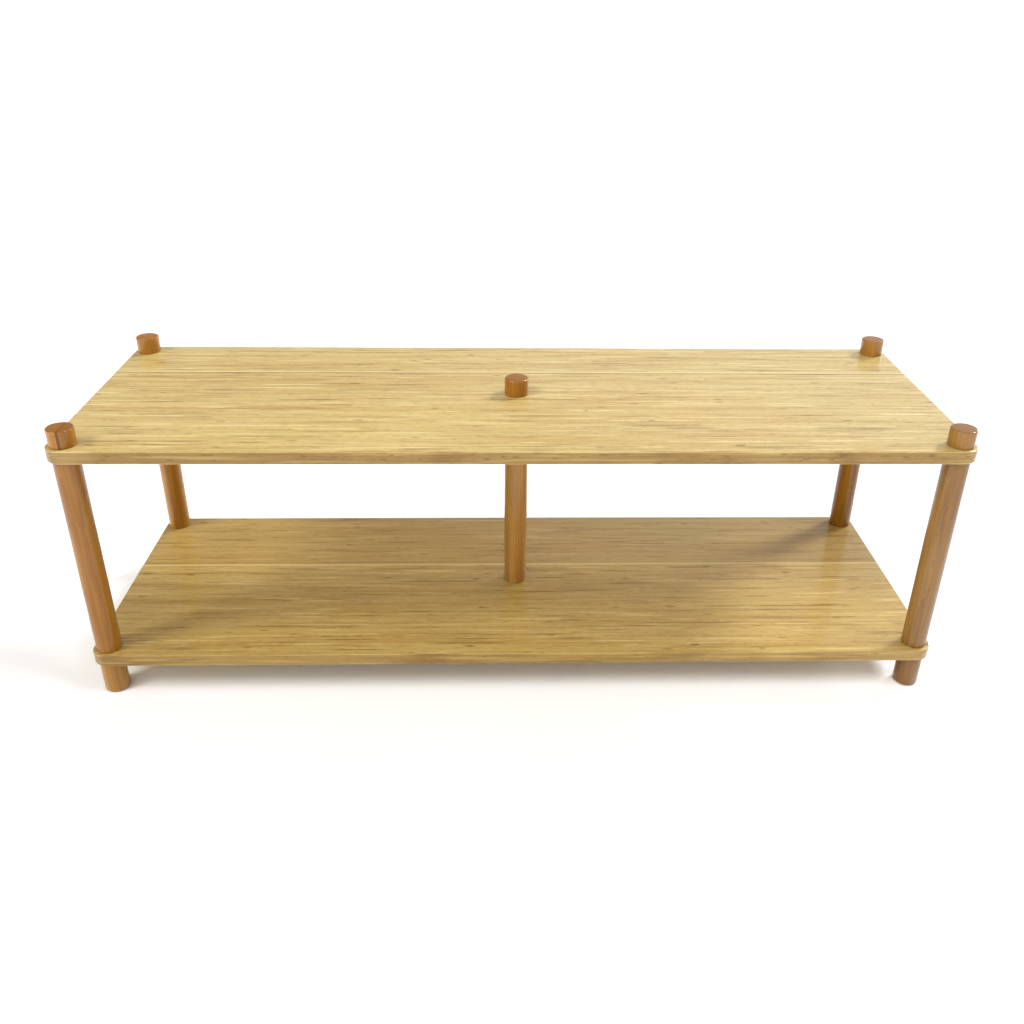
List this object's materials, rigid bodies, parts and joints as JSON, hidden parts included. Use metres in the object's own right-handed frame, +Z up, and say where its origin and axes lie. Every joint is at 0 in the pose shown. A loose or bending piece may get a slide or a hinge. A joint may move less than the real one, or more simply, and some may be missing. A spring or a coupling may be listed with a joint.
{
  "type": "entryway bench",
  "caption": "Low entryway bench with a flat bamboo seat board over a matching shelf board, clamped between wooden dowel legs with round screw-on caps.",
  "frame": {"origin": "on the floor under the middle of the bench", "axes": "+X along the length to the right, +Y to the back, +Z up; the front faces -Y"},
  "size_m": [1.22, 0.406, 0.415],
  "materials": {
    "bamboo_board": "edge-grain laminated bamboo under satin clear lacquer",
    "beech_dowel": "steamed reddish-brown hardwood dowel, satin lacquer",
    "zinc_steel": "bright zinc-plated steel, rolled thread",
    "zinc_alloy": "die-cast zinc alloy, matt grey",
    "brown_felt": "pressed brown felt"
  },
  "bodies": {
    "bench": {"lower_board": "bamboo_board", "top_board": "bamboo_board", "pad_front_left": "brown_felt", "foot_front_left": "beech_dowel", "foot_bolt_front_left": "zinc_steel", "lower_insert_front_left": "zinc_alloy", "post_front_left": "beech_dowel", "upper_insert_front_left": "zinc_alloy", "pad_front_right": "brown_felt", "foot_front_right": "beech_dowel", "foot_bolt_front_right": "zinc_steel", "lower_insert_front_right": "zinc_alloy", "post_front_right": "beech_dowel", "upper_insert_front_right": "zinc_alloy", "pad_back_left": "brown_felt", "foot_back_left": "beech_dowel", "foot_bolt_back_left": "zinc_steel", "lower_insert_back_left": "zinc_alloy", "post_back_left": "beech_dowel", "upper_insert_back_left": "zinc_alloy", "pad_back_right": "brown_felt", "foot_back_right": "beech_dowel", "foot_bolt_back_right": "zinc_steel", "lower_insert_back_right": "zinc_alloy", "post_back_right": "beech_dowel", "upper_insert_back_right": "zinc_alloy", "pad_center": "brown_felt", "foot_center": "beech_dowel", "foot_bolt_center": "zinc_steel", "lower_insert_center": "zinc_alloy", "post_center": "beech_dowel", "upper_insert_center": "zinc_alloy"},
    "cap_screw_front_left": {"cap_bolt_front_left": "zinc_steel"},
    "cap_turned_front_left": {"cap_front_left": "beech_dowel"},
    "cap_screw_front_right": {"cap_bolt_front_right": "zinc_steel"},
    "cap_turned_front_right": {"cap_front_right": "beech_dowel"},
    "cap_screw_back_left": {"cap_bolt_back_left": "zinc_steel"},
    "cap_turned_back_left": {"cap_back_left": "beech_dowel"},
    "cap_screw_back_right": {"cap_bolt_back_right": "zinc_steel"},
    "cap_turned_back_right": {"cap_back_right": "beech_dowel"},
    "cap_screw_center": {"cap_bolt_center": "zinc_steel"},
    "cap_turned_center": {"cap_center": "beech_dowel"}
  },
  "joints": [
    {"name": "cap_rise_front_left", "type": "slide", "parent": "bench", "child": "cap_screw_front_left", "axis": [0, 0, 1], "range_m": [0, 0.016]},
    {"name": "cap_turn_front_left", "type": "hinge", "parent": "cap_screw_front_left", "child": "cap_turned_front_left", "pos_m": [-0.5875, -0.1805, 0.39], "axis": [0, 0, 1], "range_deg": [0, 4608]},
    {"name": "cap_rise_front_right", "type": "slide", "parent": "bench", "child": "cap_screw_front_right", "axis": [0, 0, 1], "range_m": [0, 0.016]},
    {"name": "cap_turn_front_right", "type": "hinge", "parent": "cap_screw_front_right", "child": "cap_turned_front_right", "pos_m": [0.5875, -0.1805, 0.39], "axis": [0, 0, 1], "range_deg": [0, 4608]},
    {"name": "cap_rise_back_left", "type": "slide", "parent": "bench", "child": "cap_screw_back_left", "axis": [0, 0, 1], "range_m": [0, 0.016]},
    {"name": "cap_turn_back_left", "type": "hinge", "parent": "cap_screw_back_left", "child": "cap_turned_back_left", "pos_m": [-0.5875, 0.1805, 0.39], "axis": [0, 0, 1], "range_deg": [0, 4608]},
    {"name": "cap_rise_back_right", "type": "slide", "parent": "bench", "child": "cap_screw_back_right", "axis": [0, 0, 1], "range_m": [0, 0.016]},
    {"name": "cap_turn_back_right", "type": "hinge", "parent": "cap_screw_back_right", "child": "cap_turned_back_right", "pos_m": [0.5875, 0.1805, 0.39], "axis": [0, 0, 1], "range_deg": [0, 4608]},
    {"name": "cap_rise_center", "type": "slide", "parent": "bench", "child": "cap_screw_center", "axis": [0, 0, 1], "range_m": [0, 0.016]},
    {"name": "cap_turn_center", "type": "hinge", "parent": "cap_screw_center", "child": "cap_turned_center", "pos_m": [0, 0, 0.39], "axis": [0, 0, 1], "range_deg": [0, 4608]}
  ],
  "couplings": [
    {"joint": "cap_turn_front_left", "follows": "cap_rise_front_left", "rad_per_m": 5026.5},
    {"joint": "cap_turn_front_right", "follows": "cap_rise_front_right", "rad_per_m": 5026.5},
    {"joint": "cap_turn_back_left", "follows": "cap_rise_back_left", "rad_per_m": 5026.5},
    {"joint": "cap_turn_back_right", "follows": "cap_rise_back_right", "rad_per_m": 5026.5},
    {"joint": "cap_turn_center", "follows": "cap_rise_center", "rad_per_m": 5026.5}
  ]
}
